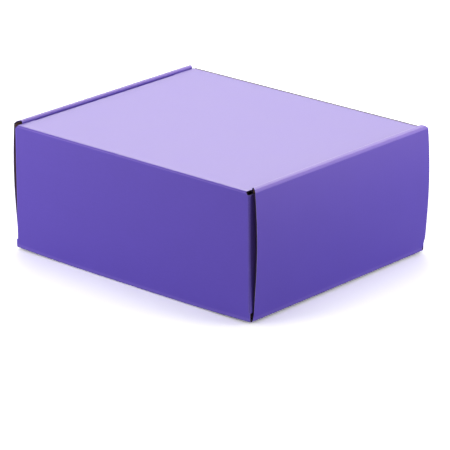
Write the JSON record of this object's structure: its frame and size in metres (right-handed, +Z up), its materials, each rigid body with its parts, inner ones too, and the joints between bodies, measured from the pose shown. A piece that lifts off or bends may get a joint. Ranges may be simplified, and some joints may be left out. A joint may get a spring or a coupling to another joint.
{
  "type": "corrugated mailer box",
  "caption": "Folding fluted-board mailer box with double roll-over side walls, trapped corner flaps and a hinged tuck-in lid.",
  "frame": {"origin": "middle of the underside of the base, on the surface it stands on", "axes": "+Z up, +X along the rear wall, +Y from the front wall to the rear wall, where the lid is hinged"},
  "size_m": [0.3194, 0.259, 0.1328],
  "materials": {
    "tray_board": "satin purple print",
    "lid_board": "satin purple print"
  },
  "bodies": {
    "tray": {"tray": "tray_board"},
    "lid": {"lid": "lid_board"}
  },
  "joints": [
    {"name": "lid_hinge", "type": "hinge", "parent": "tray", "child": "lid", "pos_m": [0, 0.12906, 0.12956], "axis": [-1, 0, 0], "range_deg": [0, 180]}
  ]
}
